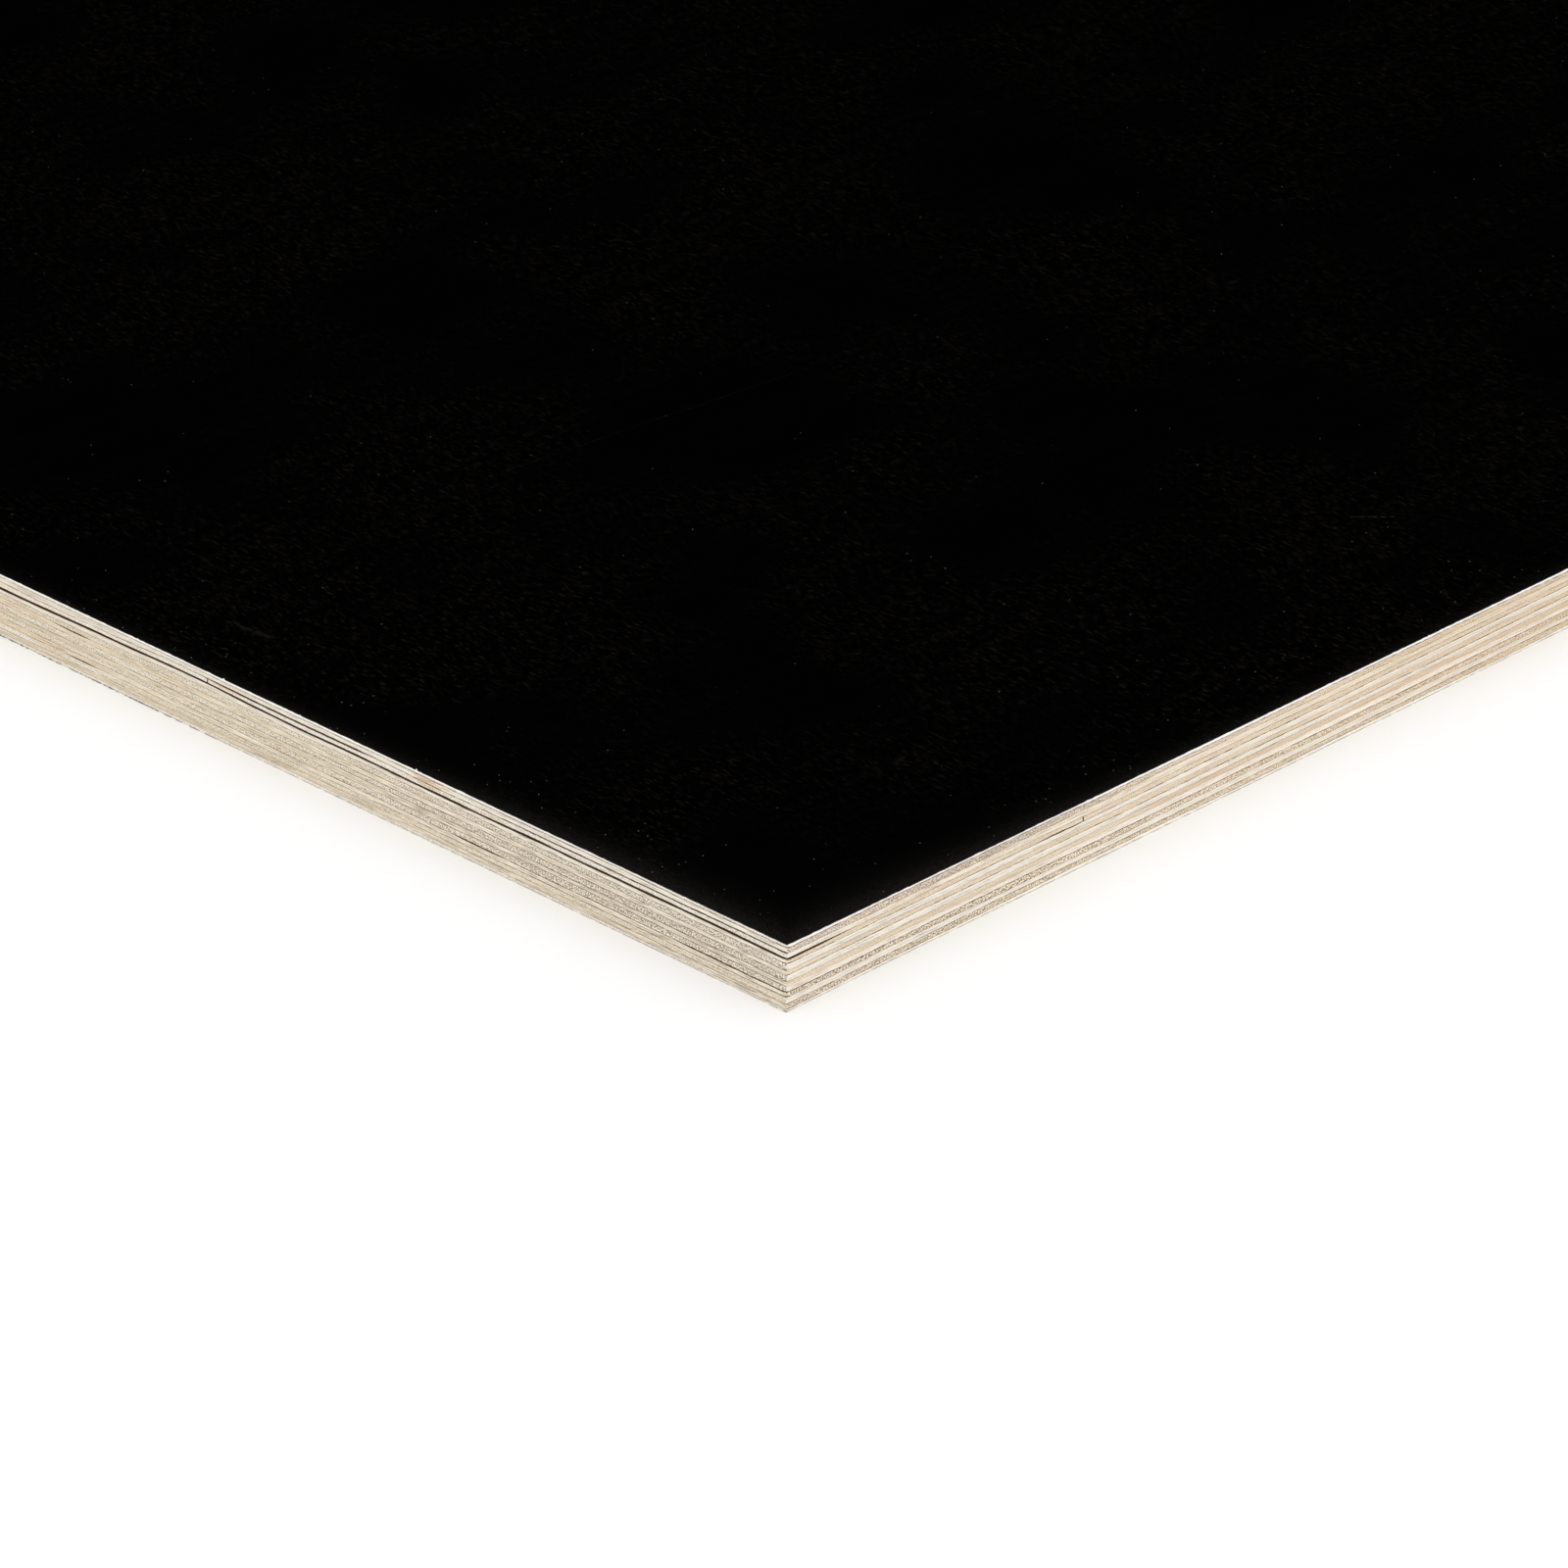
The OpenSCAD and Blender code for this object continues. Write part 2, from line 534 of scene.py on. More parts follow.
class Shader:
    """A material whose nodes are added with short calls. Sockets are linked, and other values are set."""

    def __init__(self, name):
        self.material = bpy.data.materials.new(name)
        self.material.use_nodes = True
        self.tree = self.material.node_tree
        self.surface = self.tree.nodes["Principled BSDF"]
        local = self.add("TexCoord").outputs["Object"]
        self.place = self.vector("MULTIPLY_ADD", local, (1 / MM,) * 3, tuple(-LOW))
        self.facing = self.add("NewGeometry").outputs["True Normal"]

    def put(self, socket, value):
        """Links or sets one input."""
        if isinstance(value, bpy.types.NodeSocket):
            self.tree.links.new(value, socket)
        else:
            socket.default_value = value

    def add(self, kind, values=None, **settings):
        """A new node of this kind, with its settings and its inputs."""
        node = self.tree.nodes.new(f"ShaderNode{kind}")
        for key, value in settings.items():
            setattr(node, key, value)
        for key, value in (values or {}).items():
            self.put(node.inputs[key], value)
        return node

    def math(self, operation, a, b=0.0, c=0.0):
        """A sum, product or the like of numbers."""
        return self.add("Math", {0: a, 1: b, 2: c}, operation=operation).outputs[0]

    def ramp(self, value, start, end, low=0.0, high=1.0):
        """A smooth step from low, at start, to high, at end."""
        ends = {"Value": value, "From Min": start, "From Max": end, "To Min": low, "To Max": high}
        return self.add("MapRange", ends, interpolation_type="SMOOTHSTEP").outputs["Result"]

    def mix(self, share, a, b, way="MIX"):
        """Colour a, changed to colour b by this share, or multiplied by it."""
        return self.add("Mix", {0: share, 6: a, 7: b}, data_type="RGBA", blend_type=way).outputs[2]

    def product(self, *factors):
        """The product of numbers."""
        result = factors[0]
        for factor in factors[1:]:
            result = self.math("MULTIPLY", result, factor)
        return result

    def blend(self, share, low, high):
        """A number that goes from low to high with this share."""
        return self.math("MULTIPLY_ADD", share, high - low, low)

    def swing(self, value, amount, start):
        """start, moved by how far a noise is from its middle."""
        return self.math("MULTIPLY_ADD", self.math("SUBTRACT", value, NOISE_MIDDLE), amount, start)

    def vector(self, operation, *values):
        """A sum, product or the like of vectors."""
        return self.add("VectorMath", dict(enumerate(values)), operation=operation).outputs[0]

    def dot(self, vector, direction):
        """A vector measured along one direction."""
        return self.add("VectorMath", {0: vector, 1: direction}, operation="DOT_PRODUCT").outputs["Value"]

    def length(self, vector):
        """The length of a vector."""
        return self.add("VectorMath", {0: vector}, operation="LENGTH").outputs["Value"]

    def turned(self, index):
        """1 where a face looks along this axis, either way, and 0 where it looks across it."""
        return self.ramp(self.math("ABSOLUTE", self.axis(self.facing, index)), *FACING)

    def edge_distance(self):
        """Distance from the nearest end, and from the nearest long edge."""
        half = [size / 2 for size in (LENGTH, WIDTH)]
        away = [self.math("SUBTRACT", self.axis(self.place, i), half[i]) for i in (0, 1)]
        return [self.math("SUBTRACT", half[i], self.math("ABSOLUTE", away[i])) for i in (0, 1)]

    def patch(self, centre, reach):
        """Distance from a centre, where 1 is the reach along x, y and z."""
        shares = tuple(1 / r for r in reach)
        start = tuple(-c / r for c, r in zip(centre, reach))
        return self.length(self.vector("MULTIPLY_ADD", self.place, shares, start))

    def line_distance(self, start, end):
        """Distance from a straight line drawn on the face, given by its two ends."""
        run = Vector((end[0] - start[0], end[1] - start[1], 0.0))
        away = self.vector("MULTIPLY_ADD", self.place, (1.0, 1.0, 0.0), (-start[0], -start[1], 0.0))
        share = self.dot(away, tuple(run / run.length_squared))
        share = self.add("Math", {0: share, 1: 0.0}, operation="ADD", use_clamp=True).outputs[0]
        back = self.add("VectorMath", {0: tuple(-run), 3: share}, operation="SCALE").outputs[0]
        return self.length(self.vector("ADD", away, back))

    def noise_at(self, vector, detail, roughness):
        """Noise at a place that is measured in its grains, mostly between 0.3 and 0.7."""
        values = {"Vector": vector, "Scale": 1.0, "Detail": detail, "Roughness": roughness}
        return self.add("TexNoise", values).outputs[0]

    def noise(self, kind, layer=0):
        """Noise of one kind: the sizes of its grains along x, y and z, its seed, its detail and roughness.

        The layer's number is added to the seed.
        """
        sizes, seed, detail, roughness = kind
        steps = tuple(1 / size for size in sizes)
        start = tuple((seed + layer) * shift for shift in SEED_SHIFT)
        return self.noise_at(self.vector("MULTIPLY_ADD", self.place, steps, start), detail, roughness)

    def axis(self, vector, index):
        """One part of a vector."""
        return self.add("SeparateXYZ", {0: vector}).outputs[index]

    def value_of(self, name):
        """A value that the mesh's points hold."""
        return self.add("Attribute", attribute_name=name).outputs["Fac"]

    def finish(self, base, roughness, specular, height=None, depth=0.0):
        """Sets the surface: its colour, gloss and fine relief, whose depth is in mm."""
        self.put(self.surface.inputs["Base Color"], base)
        self.put(self.surface.inputs["Roughness"], roughness)
        self.put(self.surface.inputs["Specular IOR Level"], specular)
        if height is not None:
            bump = self.add("Bump", {"Strength": 1.0, "Distance": depth * MM, "Height": height})
            self.put(self.surface.inputs["Normal"], bump.outputs[0])
        return self.material


# Colours of the sawn veneers, their pores, their flecks and their glue
WHITE = colour(252, 249, 241)
PALE = colour(234, 226, 213)
PINK = colour(236, 222, 209)
CREAM = colour(231, 217, 196)
STRAW = colour(216, 202, 180)
OAT = colour(223, 215, 200)
TAN = colour(226, 206, 177)
LIGHT_BROWN = colour(228, 204, 170)
BEIGE = colour(217, 204, 182)
LIGHT_BEIGE = colour(217, 209, 193)
CHALK = colour(233, 226, 212)
YELLOW_BEIGE = colour(206, 191, 166)
PORE = colour(72, 50, 32)
SHADE = colour(116, 96, 72)
FLECK = colour(255, 247, 231)
GLUE = colour(84, 66, 44)
GLUE_DEEP = colour(96, 68, 34)

# What the wood's colour is multiplied by where the edges have aged
AGED_LONG_EDGE = (0.94, 0.885, 0.82, 1.0)
AGED_END = (1.0, 0.97, 0.92, 1.0)

# What the saw lays bare on each veneer: its colour along the grain and at the end grain, and how open its
# pores are
VENEERS = {
    "face_veneer": (WHITE, LIGHT_BEIGE, 0.35),
    "crossband_6": (LIGHT_BEIGE, LIGHT_BROWN, 0.55),
    "core_veneer_5": (CREAM, PALE, 0.3),
    "crossband_5": (OAT, TAN, 0.15),
    "core_veneer_4": (PALE, BEIGE, 0.6),
    "crossband_4": (STRAW, TAN, 0.15),
    "core_veneer_3": (PALE, BEIGE, 0.65),
    "crossband_3": (YELLOW_BEIGE, TAN, 0.15),
    "core_veneer_2": (PINK, BEIGE, 0.65),
    "crossband_2": (STRAW, LIGHT_BROWN, 0.9),
    "core_veneer_1": (PALE, BEIGE, 0.2),
    "crossband_1": (YELLOW_BEIGE, LIGHT_BROWN, 0.75),
    "back_veneer": (WHITE, CHALK, 0.2),
}

# How dark the glue line is under each layer, on the long edges and on the ends
NO_GLUE_LINE = (0.0, 0.0)
GLUE_LINES = {
    "face_veneer": (1.0, 1.0),
    "crossband_6": (0.35, 1.0),
    "core_veneer_5": (0.45, 0.6),
    "crossband_5": (1.0, 0.7),
    "core_veneer_4": (0.35, 0.8),
    "crossband_4": (0.95, 0.8),
    "core_veneer_3": (0.3, 0.8),
    "crossband_3": (0.35, 0.8),
    "core_veneer_2": (1.0, 1.0),
    "crossband_2": (0.35, 0.8),
    "core_veneer_1": (0.95, 0.7),
    "crossband_1": (0.8, 0.5),
}

# Stains and pale patches on the edges. Noise bends their outlines, and they fade towards them
RUST = colour(196, 154, 100)
PEACH = colour(216, 180, 144)
MAUVE = colour(180, 162, 142)
BROWN = colour(182, 161, 136)
HONEY = colour(206, 183, 146)
GREYED = colour(184, 171, 151)
BLEACHED = colour(238, 233, 225)
WARM_WHITE = colour(246, 235, 218)
STAIN_NOISE = ((7.0, 7.0, 0.45), 11, 3.0, 0.6)
STAIN_WOBBLE = 3.2
STAIN_FADE = (0.35, 1.0)
UNREACHED = 1.0e6
STAINS = (
    # edge, place along it, height, reach along it, reach up and down, colour, strength
    ("left", 120.0, 16.1, 9.0, 2.2, RUST, 0.65),
    ("left", 99.0, 14.8, 5.0, 0.9, RUST, 0.45),
    ("left", 193.0, 15.5, 8.0, 1.0, PEACH, 0.6),
    ("left", 209.0, 8.3, 8.0, 0.9, PEACH, 0.6),
    ("left", 188.0, 8.3, 6.0, 0.8, PEACH, 0.5),
    ("left", 175.0, 5.6, 6.0, 0.7, PEACH, 0.5),
    ("left", 279.0, 9.4, 9.0, 1.2, RUST, 0.4),
    ("left", 260.0, 4.7, 8.0, 0.8, RUST, 0.4),
    ("left", 245.0, 4.7, 8.0, 0.8, RUST, 0.4),
    ("left", 226.0, 9.1, 13.0, 1.0, BLEACHED, 0.55),
    ("left", 186.0, 9.0, 28.0, 0.9, BLEACHED, 0.4),
    ("left", 90.0, 8.6, 18.0, 0.7, BLEACHED, 0.5),
    ("left", 246.0, 3.2, 14.0, 1.0, BLEACHED, 0.6),
    ("left", 274.0, 3.0, 11.0, 0.9, BLEACHED, 0.6),
    ("left", 165.0, 14.7, 38.0, 1.0, BLEACHED, 0.5),
    ("left", 35.0, 8.0, 95.0, 5.0, GREYED, 0.45),
    ("left", 12.0, 1.7, 60.0, 1.0, GREYED, 0.8),
    ("left", 30.0, 7.5, 110.0, 0.9, GREYED, 0.4),
    ("left", 240.0, 6.1, 130.0, 1.1, CREAM, 0.8),
    ("left", 240.0, 9.0, 130.0, 1.1, CREAM, 0.7),
    ("left", 200.0, 11.9, 60.0, 1.0, CREAM, 0.5),
    ("left", 250.0, 10.5, 120.0, 1.0, HONEY, 0.45),
    ("left", 300.0, 4.6, 70.0, 1.0, HONEY, 0.7),
    ("front", 10.0, 4.6, 60.0, 1.0, BROWN, 0.4),
    ("front", 10.0, 1.7, 60.0, 1.0, BROWN, 0.4),
    ("front", 70.0, 16.4, 60.0, 1.5, MAUVE, 0.75),
    ("front", 4.0, 16.3, 24.0, 1.4, MAUVE, 0.6),
    ("front", 8.0, 15.2, 28.0, 1.0, BLEACHED, 0.7),
    ("front", 154.0, 7.6, 30.0, 1.0, PEACH, 0.5),
    ("front", 228.0, 7.4, 38.0, 1.0, PEACH, 0.55),
    ("front", 262.0, 4.7, 44.0, 1.0, PEACH, 0.35),
    ("front", 205.0, 6.0, 120.0, 1.0, WARM_WHITE, 0.75),
    ("back", 820.0, 12.0, 60.0, 2.2, RUST, 0.4),
    ("right", 390.0, 6.0, 40.0, 2.0, GREYED, 0.6),
    ("back", 1460.0, 5.0, 90.0, 2.0, GREYED, 0.6),
    ("front", 1680.0, 9.0, 70.0, 2.0, RUST, 0.3),
)

# Noises in the wood. The fibres run along x or along y, as the grain of their veneer does
FIBRE_NOISES = (
    ((5.0, 0.22, 0.22), 0, 1.0, 0.6),
    ((0.22, 5.0, 0.22), 0, 1.0, 0.6),
)
FUZZ_NOISE = ((0.2, 0.2, 0.2), 80, 0.0, 0.5)
STREAK_NOISE = ((16.0, 16.0, 0.3), 40, 1.0, 0.5)
BROAD_NOISE = ((60.0, 60.0, 2.5), 20, 2.0, 0.5)
GLUE_NOISE = ((3.2, 3.2, 0.9), 60, 3.0, 0.65)

# Checks at the end grain slant: how many of their grains lie in a millimetre across them and along them
CHECK_ACROSS = (3.0, 3.0, 1.7)
CHECK_ALONG = (-0.55, -0.55, 1.35)
CHECK_DETAIL = 1.5
CHECK_ROUGHNESS = 0.6

# How strongly the tone of the fibres swings, on the long edges and on the ends
SIDE_CONTRAST = (1.8, 2.9)
END_CONTRAST = (1.8, 7.5)

# How strongly the sawn fuzz and the pale lips of the glue lines show, along the grain and at the end grain
FUZZ_CONTRAST = (0.9, 2.0)
LIP_SHARES = (0.6, 0.15)

# How strongly streaks and broader marks show
STREAK_CONTRAST = 1.0
BROAD_CONTRAST = 0.14

# Ramps, given by where they start and end, and then by their values there if these aren't 0 and 1. The first
# three run with the distance from the nearest corner, the next three with a noise
GRAIN_FADE = (15.0, 270.0, 1.0, 0.5)
GLUE_FADE = (60.0, 220.0, 1.0, 0.6)
AGED_REACH = (110.0, 330.0)
PORE_RANGE = (0.515, 0.57)
FLECK_RANGE = (0.5, 0.43, 0.0, 0.65)
GLUE_PATCHES = (0.40, 0.58, 0.2, 1.0)

# Ramps of the glue line and its lip with the distance from the face of the veneer
GLUE_REACH = (0.08, 0.17, 1.0, 0.0)
LIP_START = (0.12, 0.3)
LIP_END = (0.35, 0.7, 1.0, 0.0)

# Ramps of the white rim under the film: with the distance from the film, and with that from the corner
RIM_REACH = (0.28, 0.58, 1.0, 0.0)
RIM_STRENGTH = (0.0, 160.0, 0.45, 1.0)

# Where a face looks up or down enough to be covered with glue, and the surface of the wood
GLUED_FACING = (0.6, 0.8)
WOOD_ROUGHNESS = 0.85
WOOD_SPECULAR = 0.2
WOOD_RELIEF = 0.05


def stained(shader, wood, k):
    """The wood's colour with the stains that reach layer k."""
    wobble = shader.noise(STAIN_NOISE)
    for edge, place, height, reach, rise, tint, strength in STAINS:
        if not LEVELS[k] - rise < height < LEVELS[k + 1] + rise:
            continue
        along = ALONG[edge]
        side = 1.0 if edge in FAR_EDGES else -1.0
        outward = shader.math("MULTIPLY", shader.axis(shader.facing, 1 - along), side)
        centre = [0.0, 0.0, height]
        centre[along] = place
        size = [UNREACHED, UNREACHED, rise]
        size[along] = reach
        distance = shader.swing(wobble, STAIN_WOBBLE, shader.patch(centre, size))
        share = shader.ramp(distance, *STAIN_FADE, strength, 0.0)
        wood = shader.mix(shader.product(share, shader.ramp(outward, *FACING)), wood, tint)
    return wood


def glue_line(shader, distance, strengths, front, faded):
    """How dark the glue line is at this distance from a veneer's face, and how pale the lip beside it."""
    on_front, on_ends = strengths
    strength = shader.product(shader.blend(front, on_ends, on_front), faded)
    dark = shader.product(shader.ramp(distance, *GLUE_REACH), strength)
    pale = shader.product(shader.ramp(distance, *LIP_START), shader.ramp(distance, *LIP_END), strength)
    return dark, pale


def veneer_material(k):
    """Sawn veneer: streaks along its grain, pores and checks at its end grain, and glue at its faces."""
    layer = LAYERS[k]
    side_colour, end_colour, pores = VENEERS[layer]
    shader = Shader(f"{layer}_wood")
    grain = grain_axis(layer)
    end = shader.turned(grain)
    front = shader.turned(1)
    corner = shader.math("MAXIMUM", *shader.edge_distance())
    worn = shader.ramp(corner, *GRAIN_FADE)

    wood = shader.mix(end, side_colour, end_colour)
    if k in INNER_VENEERS:
        aged = shader.mix(front, AGED_END, AGED_LONG_EDGE)
        wood = shader.mix(shader.ramp(corner, *AGED_REACH), wood, aged, "MULTIPLY")
    wood = stained(shader, wood, k)

    fibre = shader.noise(FIBRE_NOISES[grain], k)
    along, across = SIDE_CONTRAST[grain], END_CONTRAST[1 - grain] * pores
    contrast = shader.product(shader.blend(end, along, across), worn)
    tone = shader.product(shader.math("SUBTRACT", fibre, NOISE_MIDDLE), contrast)
    tone = shader.swing(shader.noise(FUZZ_NOISE, k), shader.blend(end, *FUZZ_CONTRAST), tone)
    tone = shader.swing(shader.noise(STREAK_NOISE, k), STREAK_CONTRAST, tone)
    tone = shader.swing(shader.noise(BROAD_NOISE, k), BROAD_CONTRAST, tone)
    wood = shader.mix(tone, wood, FLECK)
    wood = shader.mix(shader.product(tone, -1.0), wood, SHADE)

    slant = {0: shader.dot(shader.place, CHECK_ACROSS), 1: shader.dot(shader.place, CHECK_ALONG), 2: float(k)}
    slant = shader.add("CombineXYZ", slant).outputs[0]
    check = shader.noise_at(slant, CHECK_DETAIL, CHECK_ROUGHNESS)
    depth = shader.product(end, worn, pores)
    wood = shader.mix(shader.product(shader.ramp(check, *PORE_RANGE), depth), wood, PORE)
    wood = shader.mix(shader.product(shader.ramp(check, *FLECK_RANGE), depth), wood, FLECK)

    patchy = shader.ramp(shader.noise(GLUE_NOISE, k), *GLUE_PATCHES)
    faded = shader.math("MAXIMUM", front, shader.ramp(corner, *GLUE_FADE))
    lines = []
    for value, layer_above in (("above", layer), ("below", LAYERS[k + 1])):
        strengths = GLUE_LINES.get(layer_above, NO_GLUE_LINE)
        lines.append(glue_line(shader, shader.value_of(value), strengths, front, faded))
    dark, pale = (shader.math("MAXIMUM", *pair) for pair in zip(*lines))
    lip = shader.ramp(end, 0.0, 1.0, *LIP_SHARES)
    wood = shader.mix(shader.product(pale, patchy, lip), wood, FLECK)
    wood = shader.mix(shader.product(dark, patchy), wood, GLUE)

    upward = shader.axis(shader.facing, 2)
    if layer == "face_veneer":
        glued = shader.product(upward, -1.0)
        rim = shader.ramp(shader.value_of("below"), *RIM_REACH)
        wood = shader.mix(shader.product(rim, shader.ramp(corner, *RIM_STRENGTH)), wood, WHITE)
    elif layer == "back_veneer":
        glued = upward
    else:
        glued = shader.math("ABSOLUTE", upward)
    wood = shader.mix(shader.ramp(glued, *GLUED_FACING), wood, GLUE_DEEP)
    relief = shader.math("MULTIPLY_ADD", check, -1.0, fibre)
    return shader.finish(wood, WOOD_ROUGHNESS, WOOD_SPECULAR, relief, WOOD_RELIEF)


# Scratches on the top film: their ends, half their width and their colour. Each fades outside its core
SCRATCHES = (
    ((132.2, 235.1), (239.3, 226.0), 0.10, colour(36, 33, 28)),
    ((276.8, 59.5), (285.0, 51.6), 0.22, colour(62, 59, 53)),
    ((387.3, 102.4), (388.4, 93.9), 0.20, colour(52, 50, 45)),
    ((22.8, 216.6), (24.2, 203.4), 1.7, colour(24, 22, 20)),
    ((1310.0, 620.0), (1465.0, 668.0), 0.16, colour(60, 57, 52)),
    ((1890.0, 260.0), (1934.0, 331.0), 0.20, colour(90, 87, 80)),
)
SCRATCH_CORE = 0.3
FILM_BLACK = colour(1, 1, 1)
FILM_DASH = colour(28, 23, 15)
FILM_HAZE = colour(30, 28, 25)
FILM_DUST = colour(190, 187, 178)
SAWDUST = colour(228, 220, 204)

# Noises in the film, and the ramps of what they draw
DASH_NOISE = ((0.42, 2.8, 5.0), 3, 1.0, 0.5)
DASH_RANGE = (0.555, 0.73)
SCRATCH_RANGE = (0.36, 0.60)
SATIN_NOISE = ((160.0, 2.2, 5.0), 4, 2.0, 0.5)
SATIN_RANGE = (0.52, 0.72, 0.0, 0.08)
SATIN_ROUGHNESS = (0.3, 0.7, 0.34, 0.40)
CLOUD_NOISE = ((60.0, 60.0, 9.0), 5, 1.0, 0.5)
CLOUD_RANGE = (0.32, 0.60, 0.1, 1.0)
FILM_GRAIN_NOISE = ((24.0, 0.8, 5.0), 6, 1.0, 0.5)
SAWDUST_NOISE = ((1.2, 1.2, 5.0), 12, 2.0, 0.5)
SAWDUST_RANGE = (0.52, 0.44)

# The hazy margin: how fast it falls off and how strong it is, both by the distance from the nearest corner,
# and how its specks make it rise and fall
HAZE_FALL = (20.0, 220.0, -0.19, -0.5)
HAZE_STRENGTH = (20.0, 220.0, 1.0, 0.6)
HAZE_SPECKS = (1.1, 0.45)

# Dust: the size of a speck, the chance that leaves a place clean, by its distance from the edge, and strength
DUST_CELL = 0.28
DUST_CHANCE = (0.0, 40.0, 0.999, 0.99992)
DUST_STRENGTH = 0.3

# Sawdust on the lower film's sawn arris: where its face counts as sawn, and where it is covered and how much
ARRIS_FACING = (0.75, 0.95, 1.0, 0.0)
COVERED_REACH = (185.0, 215.0, 1.0, 0.0)
COVERED_SHARE = 0.85
FILM_SPECULAR = 0.25
FILM_RELIEF = 0.012


def film_material(layer):
    """Black phenolic film: satin, with faint dashes and streaks, dust, scratches and a hazy margin."""
    shader = Shader(f"{layer}_film")
    fine = shader.noise(DASH_NOISE)
    satin = shader.noise(SATIN_NOISE)
    cloud = shader.ramp(shader.noise(CLOUD_NOISE), *CLOUD_RANGE)
    marks = shader.math("MAXIMUM", shader.ramp(fine, *DASH_RANGE), shader.ramp(satin, *SATIN_RANGE))
    black = shader.mix(shader.product(marks, cloud), FILM_BLACK, FILM_DASH)

    distances = shader.edge_distance()
    margin = shader.math("MINIMUM", *distances)
    corner = shader.math("MAXIMUM", *distances)
    cell = shader.vector("SNAP", shader.place, (DUST_CELL,) * 3)
    chance = shader.add("TexWhiteNoise", {"Vector": cell}, noise_dimensions="2D").outputs
    speck = chance["Value"]
    fall = shader.math("EXPONENT", shader.product(margin, shader.ramp(corner, *HAZE_FALL)))
    specks = shader.math("MULTIPLY_ADD", speck, *HAZE_SPECKS)
    haze = shader.product(fall, shader.ramp(corner, *HAZE_STRENGTH), specks)
    black = shader.mix(haze, black, FILM_HAZE)
    dust = shader.math("GREATER_THAN", speck, shader.ramp(margin, *DUST_CHANCE))
    dust = shader.product(dust, shader.axis(chance["Color"], 1), DUST_STRENGTH)
    black = shader.mix(dust, black, FILM_DUST)

    if layer == LAYERS[TOP_LAYER]:
        broken = shader.ramp(fine, *SCRATCH_RANGE)
        for start, end, half, tint in SCRATCHES:
            line = shader.ramp(shader.line_distance(start, end), half * SCRATCH_CORE, half, 1.0, 0.0)
            black = shader.mix(shader.product(line, broken), black, tint)
    else:
        sawn = shader.ramp(shader.math("ABSOLUTE", shader.axis(shader.facing, 2)), *ARRIS_FACING)
        dusty = shader.ramp(shader.noise(SAWDUST_NOISE), *SAWDUST_RANGE)
        covered = shader.math("MAXIMUM", shader.turned(1), shader.ramp(corner, *COVERED_REACH))
        dusty = shader.math("MAXIMUM", dusty, shader.product(covered, COVERED_SHARE))
        black = shader.mix(shader.product(sawn, dusty), black, SAWDUST)
    grain = shader.noise(FILM_GRAIN_NOISE)
    roughness = shader.ramp(satin, *SATIN_ROUGHNESS)
    return shader.finish(black, roughness, FILM_SPECULAR, grain, FILM_RELIEF)


def dress(piece, layer, material):
    """Puts a piece in the place of its layer."""
    piece.data.materials.append(material)
    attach(piece, "root")
    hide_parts(layer)


def add_camera():
    """The camera, which sees the sheet's near corner as the picture does."""
    forward = Vector((math.cos(PITCH) * math.sin(YAW), math.cos(PITCH) * math.cos(YAW), -math.sin(PITCH)))
    level = Vector((math.cos(YAW), -math.sin(YAW), 0.0))
    down = forward.cross(level)
    right = math.cos(ROLL) * level + math.sin(ROLL) * down
    down = -math.sin(ROLL) * level + math.cos(ROLL) * down
    across, below = ((pixel - PICTURE_PX / 2) / FOCAL_PX for pixel in CORNER_PX)
    corner = Vector((LOW[0], LOW[1], HIGH[2]))
    eye = (corner - CORNER_DEPTH * (forward + across * right + below * down)) * MM
    data = bpy.data.cameras.new("camera")
    data.sensor_width = SENSOR
    data.lens = FOCAL_PX / PICTURE_PX * SENSOR
    data.clip_end = CLIP_END_M
    camera = bpy.data.objects.new("camera", data)
    camera.matrix_world = Matrix.Translation(eye) @ Matrix((right, -down, -forward)).transposed().to_4x4()
    bpy.context.scene.collection.objects.link(camera)
    bpy.context.scene.camera = camera


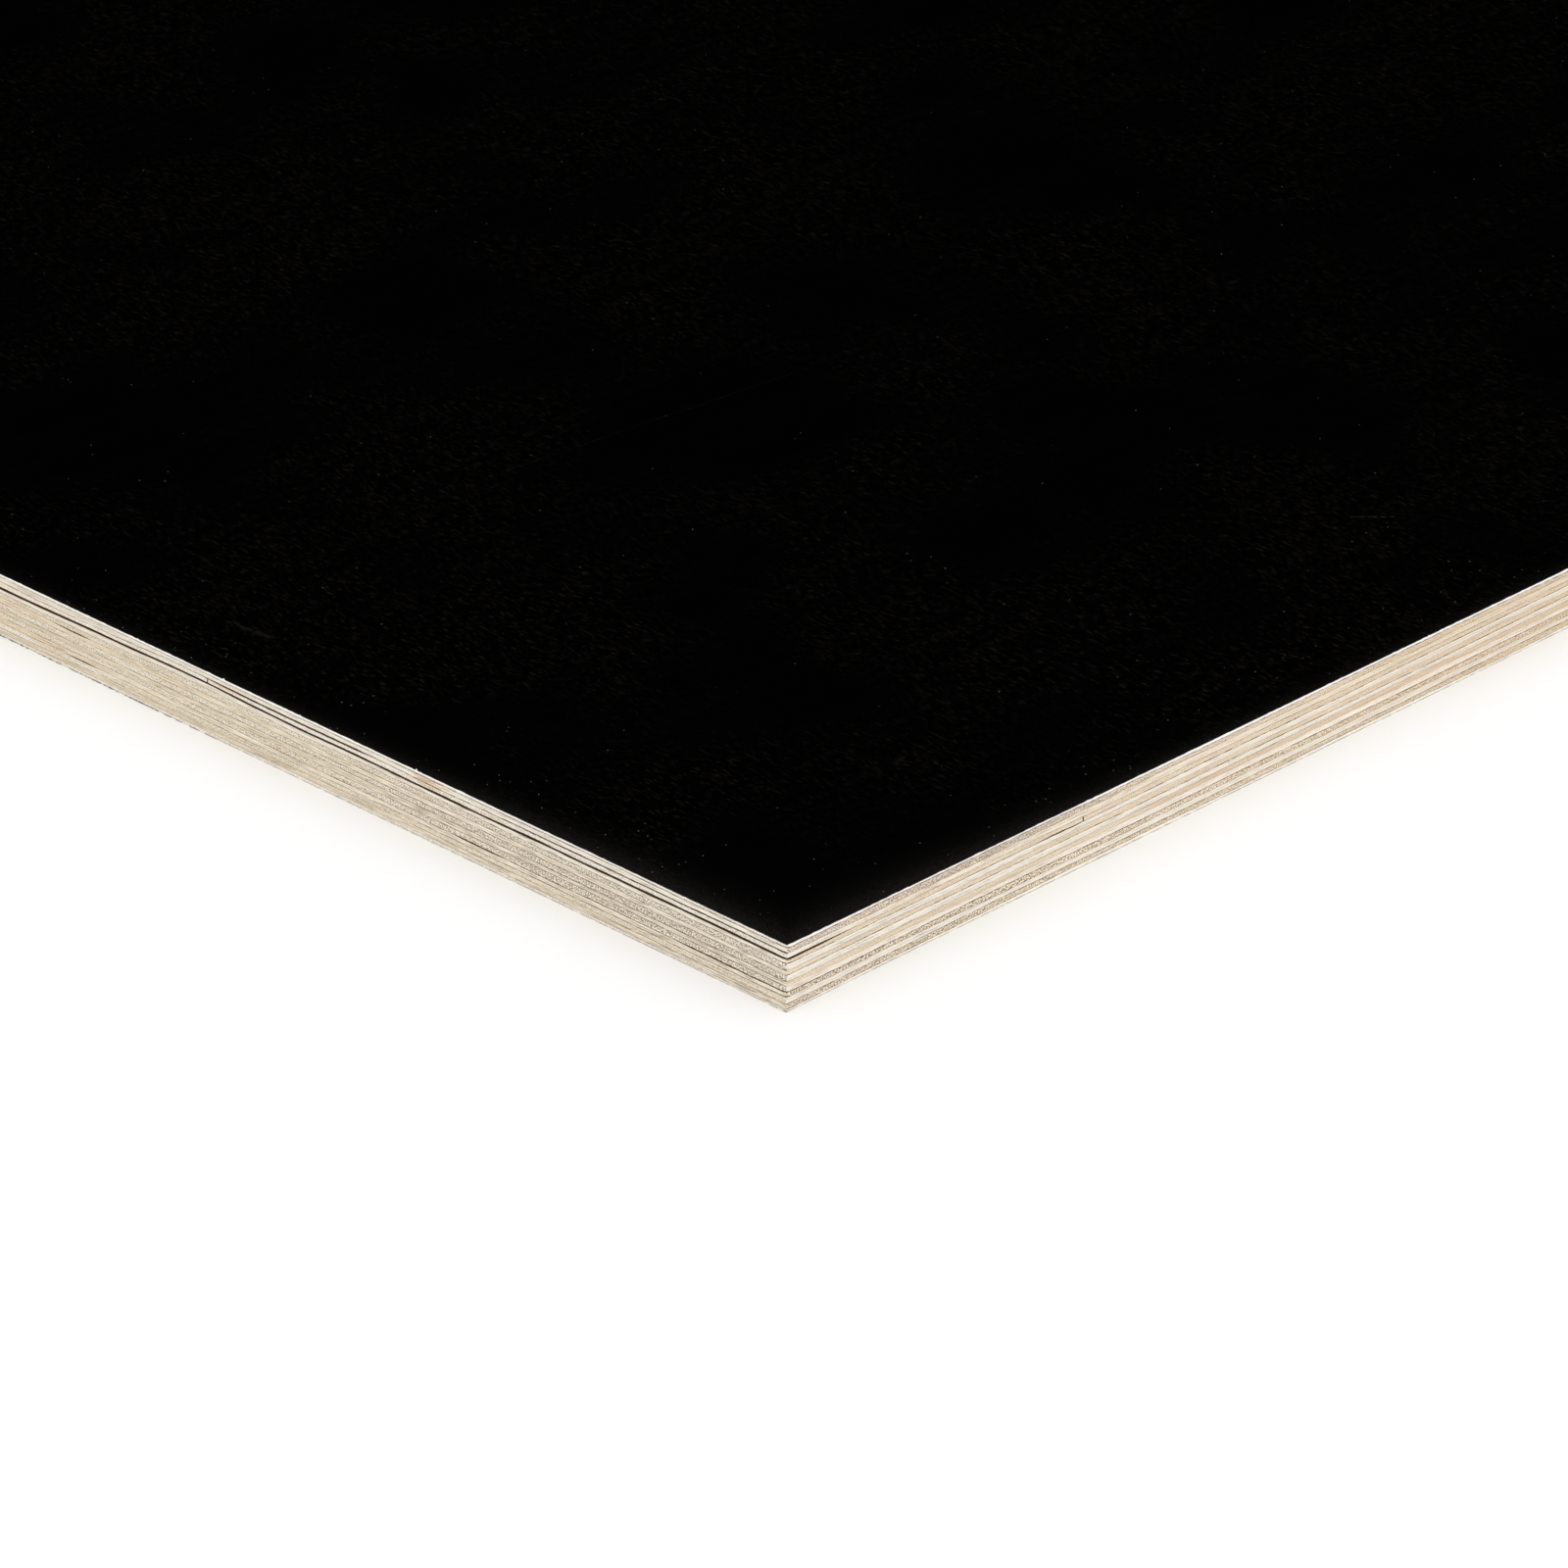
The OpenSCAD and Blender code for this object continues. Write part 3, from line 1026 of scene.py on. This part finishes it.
# The studio: a wide pale floor, even light from all round and two soft lamps in front of the near corner
FLOOR_RADIUS_M = 80.0
FLOOR_SIDES = 96
FLOOR_DROP_M = 0.00001
FLOOR_COLOUR = colour(255, 255, 255)
FLOOR_ROUGHNESS = 0.9
FLOOR_SPECULAR = 0.1
SKY_STRENGTH = 0.80
LAMPS = (
    # name, direction to the lamp, strength, angle across in degrees
    ("key", (-0.25, -0.80, 0.62), 0.75, 60.0),
    ("fill", (-0.85, -0.10, 0.55), 0.60, 60.0),
)


def add_floor():
    """The floor, a wide disc just under the sheet."""
    turns = [2 * math.pi * i / FLOOR_SIDES for i in range(FLOOR_SIDES)]
    rim = [(FLOOR_RADIUS_M * math.cos(t), FLOOR_RADIUS_M * math.sin(t), -FLOOR_DROP_M) for t in turns]
    mesh = bpy.data.meshes.new("floor")
    mesh.from_pydata(rim, [], [range(FLOOR_SIDES)])
    shader = Shader("floor_paint")
    mesh.materials.append(shader.finish(FLOOR_COLOUR, FLOOR_ROUGHNESS, FLOOR_SPECULAR))
    floor = bpy.data.objects.new("floor", mesh)
    bpy.context.scene.collection.objects.link(floor)


def add_light():
    """Even light from all round, which the film's gloss doesn't mirror, and two soft lamps."""
    world = bpy.data.worlds.new("studio")
    world.use_nodes = True
    sky = world.node_tree.nodes["Background"]
    sky.inputs["Color"].default_value = (1.0, 1.0, 1.0, 1.0)
    sky.inputs["Strength"].default_value = SKY_STRENGTH * STUDIO_GAIN
    world.cycles_visibility.glossy = False
    bpy.context.scene.world = world
    for name, towards, strength, angle in LAMPS:
        lamp = bpy.data.lights.new(name, "SUN")
        lamp.energy = strength * STUDIO_GAIN
        lamp.angle = math.radians(angle)
        holder = bpy.data.objects.new(name, lamp)
        holder.rotation_mode = "QUATERNION"
        holder.rotation_quaternion = Vector(towards).to_track_quat("Z", "Y")
        bpy.context.scene.collection.objects.link(holder)
    bpy.context.scene.view_settings.view_transform = "Standard"


add_camera()
for index, name in enumerate(LAYERS):
    if SLOTS[name] == "film":
        dress(build_film(index), name, film_material(name))
    else:
        dress(build_veneer(index), name, veneer_material(index))
add_floor()
add_light()
